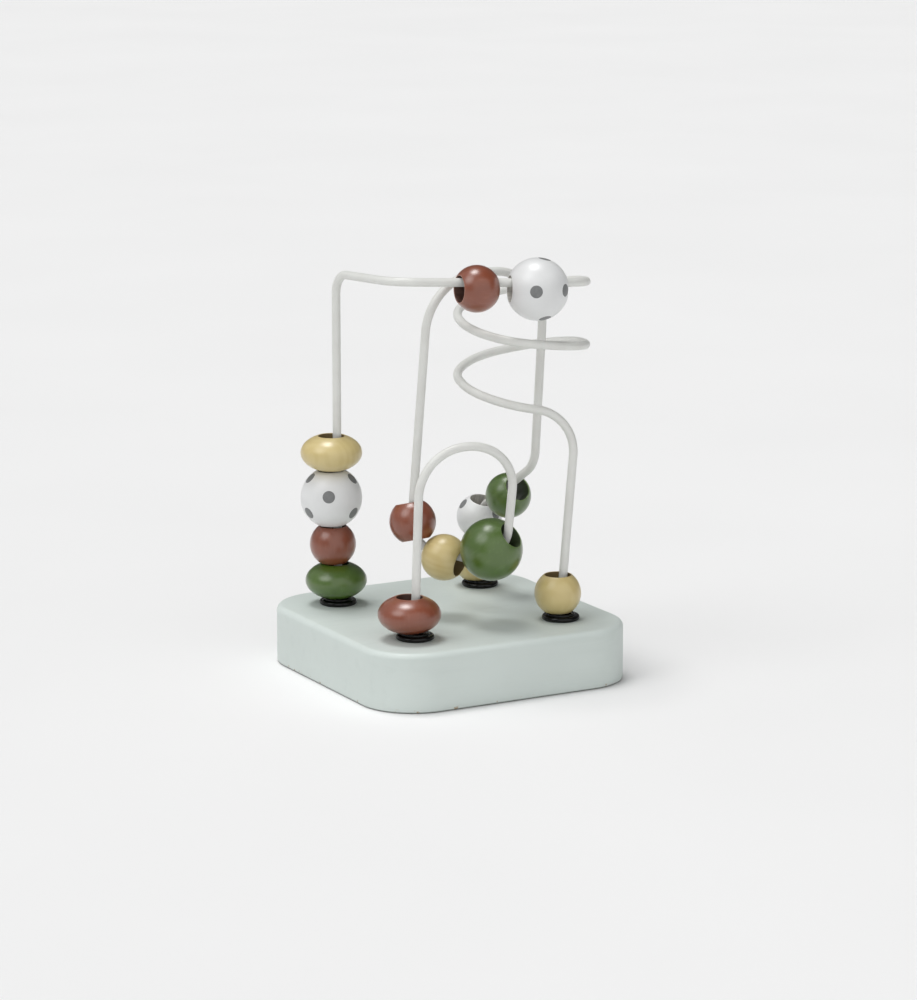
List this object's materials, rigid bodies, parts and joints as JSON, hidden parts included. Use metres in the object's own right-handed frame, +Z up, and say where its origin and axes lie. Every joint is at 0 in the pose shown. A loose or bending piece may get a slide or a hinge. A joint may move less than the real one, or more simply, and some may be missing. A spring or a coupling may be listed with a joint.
{
  "type": "bead maze",
  "caption": "Bead maze toy: a rounded square wooden block with bent coated wires, one in a spiral and one in arches, carrying loose painted ball and saucer beads.",
  "frame": {"origin": "centre of the underside of the block", "axes": "+Z up, +X and +Y along the straight edges of the block; the spiral stands on the +X side and the front arch on the -Y side"},
  "size_m": [0.094, 0.092, 0.1356],
  "materials": {
    "sage_paint": "satin paint on wood",
    "black_plastic": "gloss",
    "wire_coating": "satin plastic coating on steel wire",
    "rust_paint": "satin paint on wood",
    "green_paint": "satin paint on wood",
    "pale_wood": "satin pale yellow stain on wood",
    "white_paint": "satin paint on wood",
    "zinc_steel": "zinc plated"
  },
  "bodies": {
    "frame": {"base_block": "sage_paint", "ferrule_left": "black_plastic", "ferrule_front": "black_plastic", "ferrule_right": "black_plastic", "ferrule_back": "black_plastic", "spiral_wire": "wire_coating", "arch_wire": "wire_coating", "anchor_screws": "zinc_steel", "anchor_washers": "zinc_steel"},
    "left_green": {"left_green_saucer_bead": "green_paint"},
    "left_rust": {"left_rust_ball_bead": "rust_paint"},
    "left_spotted": {"left_spotted_ball_bead": "white_paint"},
    "left_yellow": {"left_yellow_saucer_bead": "pale_wood"},
    "top_rust": {"top_rust_ball_bead": "rust_paint"},
    "top_spotted": {"top_spotted_ball_bead": "white_paint"},
    "right_yellow": {"right_yellow_ball_bead": "pale_wood"},
    "front_rust": {"front_rust_saucer_bead": "rust_paint"},
    "dip_green": {"dip_green_ball_bead": "green_paint"},
    "dip_yellow": {"dip_yellow_ball_bead": "pale_wood"},
    "dip_rust": {"dip_rust_ball_bead": "rust_paint"},
    "back_green": {"back_green_ball_bead": "green_paint"},
    "back_spotted": {"back_spotted_ball_bead": "white_paint"},
    "back_yellow": {"back_yellow_ball_bead": "pale_wood"}
  },
  "joints": [
    {"name": "left_green_lift", "type": "slide", "parent": "frame", "child": "left_green", "axis": [0, 0, 1], "range_m": [0, 0.01]},
    {"name": "left_rust_lift", "type": "slide", "parent": "left_green", "child": "left_rust", "axis": [0, 0, 1], "range_m": [0, 0.01]},
    {"name": "left_spotted_lift", "type": "slide", "parent": "left_rust", "child": "left_spotted", "axis": [0, 0, 1], "range_m": [0, 0.01]},
    {"name": "left_yellow_lift", "type": "slide", "parent": "left_spotted", "child": "left_yellow", "axis": [0, 0, 1], "range_m": [0, 0.01]},
    {"name": "top_rust_slide", "type": "slide", "parent": "frame", "child": "top_rust", "axis": [0.9694, -0.2417, -0.0441], "range_m": [-0.013, 0.0018]},
    {"name": "top_spotted_ride", "type": "hinge", "parent": "frame", "child": "top_spotted", "pos_m": [0.02643, -0.00255, 0.1255], "axis": [0.0691, 0.0957, 0.993], "range_deg": [0, 75]},
    {"name": "right_yellow_lift", "type": "slide", "parent": "frame", "child": "right_yellow", "axis": [0.1082, 0.0329, 0.9936], "range_m": [0, 0.038]},
    {"name": "front_rust_lift", "type": "slide", "parent": "frame", "child": "front_rust", "axis": [0.0288, -0.009, 0.9995], "range_m": [0, 0.028]},
    {"name": "dip_green_ride", "type": "hinge", "parent": "frame", "child": "dip_green", "pos_m": [-0.00102, -0.01559, 0.05244], "axis": [-0.7791, -0.606, -0.1603], "range_deg": [0, 40]},
    {"name": "dip_yellow_spin", "type": "hinge", "parent": "frame", "child": "dip_yellow", "pos_m": [-0.0048, -0.0058, 0.0386], "axis": [0.5398, -0.8098, -0.2299], "continuous": true},
    {"name": "dip_rust_lift", "type": "slide", "parent": "frame", "child": "dip_rust", "axis": [0.0386, -0.0817, 0.9959], "range_m": [0, 0.044]},
    {"name": "back_green_slide", "type": "slide", "parent": "frame", "child": "back_green", "axis": [0.0968, -0.8273, 0.5534], "range_m": [0, 0.009]},
    {"name": "back_spotted_spin", "type": "hinge", "parent": "frame", "child": "back_spotted", "pos_m": [0.0253, 0.0249, 0.0429], "axis": [0.0703, -0.2912, 0.9541], "continuous": true},
    {"name": "back_yellow_spin", "type": "hinge", "parent": "frame", "child": "back_yellow", "pos_m": [0.02531, 0.0272, 0.02756], "axis": [0, 0, 1], "continuous": true}
  ]
}
